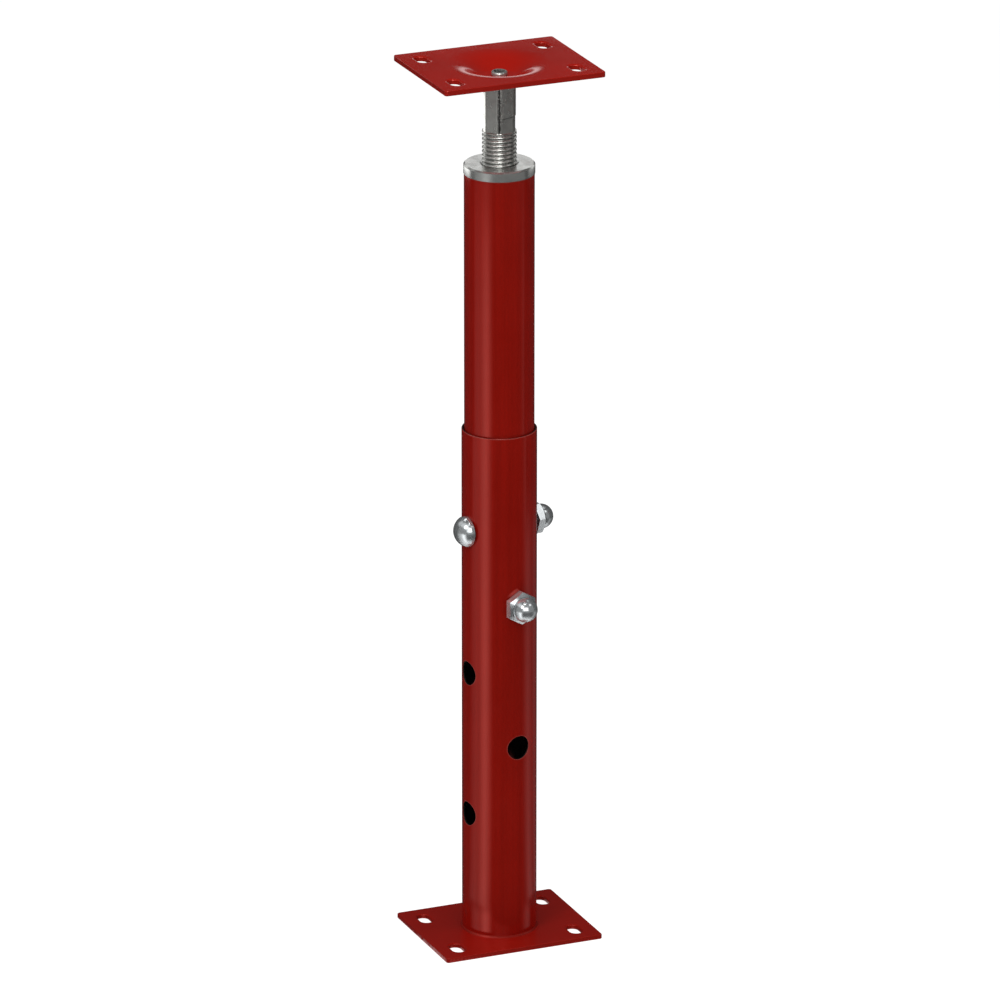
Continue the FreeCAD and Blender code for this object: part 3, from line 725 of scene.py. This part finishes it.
# A louvre of upright rings on the floor, which hides the white floor from rays that come in low. What the
# tubes mirror of it lies within TUBE_REACH, and what the screw mirrors lies beyond
FIN_FIRST = 0.07
FIN_GROWTH = 1.03
FIN_COUNT = 121
FIN_SLOPE = 0.027
FIN_CLEAR = 0.12
FIN_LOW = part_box("base_plate")[1].z - 0.2 * MM
FIN_GLOW = 0.03
TUBE_REACH = 2.27
radii = [FIN_FIRST * FIN_GROWTH ** index for index in range(FIN_COUNT)]
under_plate = [((radius, 0.0), (radius, FIN_LOW)) for radius in radii if radius < FIN_CLEAR]
around = [((radius, 0.0), (radius, FIN_SLOPE * radius)) for radius in radii if radius >= FIN_CLEAR]
make_card("inner_louvre", under_plate, middle=0.0, half_width=180.0, base=FIN_GLOW)
make_card("louvre", around, middle=0.0, half_width=180.0, base=FIN_GLOW, by_level=False, panels=(
    Panel(-41.5, 12.0, 12.0, BELOW_ALL, TUBE_REACH, 1.5),
    Panel(-67.0, 18.0, 18.0, BELOW_ALL, TUBE_REACH, 0.55),
    Panel(95.0, 13.0, 13.0, BELOW_ALL, TUBE_REACH, 0.36),
    Panel(130.0, 12.0, 12.0, BELOW_ALL, ABOVE_ALL, 0.10),
    Panel(-60.0, 22.0, 22.0, TUBE_REACH, ABOVE_ALL, 0.16),
    Panel(60.0, 22.0, 22.0, TUBE_REACH, ABOVE_ALL, 0.09)))

# A film round the tube's foot, where the base plate hides the louvre
FOOT_RADIUS = 0.0455
FOOT_LOW = 0.0065
FOOT_HIGH = 0.0322
foot_strip = upright(FOOT_RADIUS, FOOT_LOW, FOOT_HIGH + LEVEL_SOFT)
make_card("foot_card", foot_strip, middle=0.0, half_width=90.0, clear=True, panels=(
    Panel(-24.5, 7.1, 7.1, BELOW_ALL, FOOT_HIGH, 1.6),
    Panel(-40.5, 11.5, 11.5, BELOW_ALL, FOOT_HIGH, 0.62),
    Panel(56.5, 7.8, 7.8, BELOW_ALL, FOOT_HIGH, 0.36)))

# Walls of the room, in front and behind; its ceiling is the last card
ROOM_HIGH = 5.5
FRONT_RADIUS = 2.6
BACK_RADIUS = 1.2
WALL_HALF = 92.0
front_strip = upright(FRONT_RADIUS, 0.0, ROOM_HIGH)
make_card("front_card", front_strip, middle=0.0, half_width=WALL_HALF, base=0.20, panels=(
    Panel(-75.0, 20.0, 8.0, 2.00, 4.60, 0.6),
    Panel(6.0, 22.0, 10.0, 0.80, 2.40, 2.4),
    Panel(78.0, 16.0, 6.0, 2.60, 4.00, 1.4)))
back_strip = upright(BACK_RADIUS, 0.0, ROOM_HIGH)
make_card("back_card", back_strip, middle=180.0, half_width=WALL_HALF, base=0.03, panels=(
    Panel(180.0, ALL_ROUND, 1.0, 1.25, ABOVE_ALL, 0.03),
    Panel(-105.0, 15.0, 6.0, 0.95, 1.90, 0.6)))

# Small cards close round the post's head
PLATE_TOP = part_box("top_plate")[1].z
COLLAR_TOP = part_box("threaded_collar")[1].z
RIM_RADIUS = 0.32
THREAD_RADIUS = 0.25
SIDE_RADIUS = 0.2
SIDE_TURN = 122.0
SIDE_HALF = 30.0
rim_strip = upright(RIM_RADIUS, PLATE_TOP - 0.065, PLATE_TOP + 0.065)
make_card("rim_card", rim_strip, middle=180.0, half_width=85.0, panels=(
    Panel(180.0, 72.0, 10.0, PLATE_TOP - 0.049, PLATE_TOP + 0.052, 1.12),))
thread_strip = upright(THREAD_RADIUS, COLLAR_TOP + 0.055, COLLAR_TOP + 0.30)
make_card("thread_card", thread_strip, middle=0.0, half_width=22.0, panels=(
    Panel(0.0, 16.0, 5.0, COLLAR_TOP + 0.066, COLLAR_TOP + 0.29, 8.0),))
left_strip = upright(SIDE_RADIUS, COLLAR_TOP - 0.072, COLLAR_TOP + 0.032)
make_card("left_card", left_strip, middle=-SIDE_TURN, half_width=SIDE_HALF, panels=(
    Panel(-SIDE_TURN, 22.0, 6.0, COLLAR_TOP - 0.060, COLLAR_TOP + 0.022, 3.4),))
right_strip = upright(SIDE_RADIUS, COLLAR_TOP - 0.067, COLLAR_TOP - 0.033)
make_card("right_card", right_strip, middle=SIDE_TURN, half_width=SIDE_HALF, panels=(
    Panel(SIDE_TURN, 22.0, 6.0, COLLAR_TOP - 0.057, COLLAR_TOP - 0.043, 1.3),))
ceiling_strip = [((0.0, ROOM_HIGH), (FRONT_RADIUS, ROOM_HIGH))]
make_card("ceiling_card", ceiling_strip, middle=0.0, half_width=180.0, base=0.10)
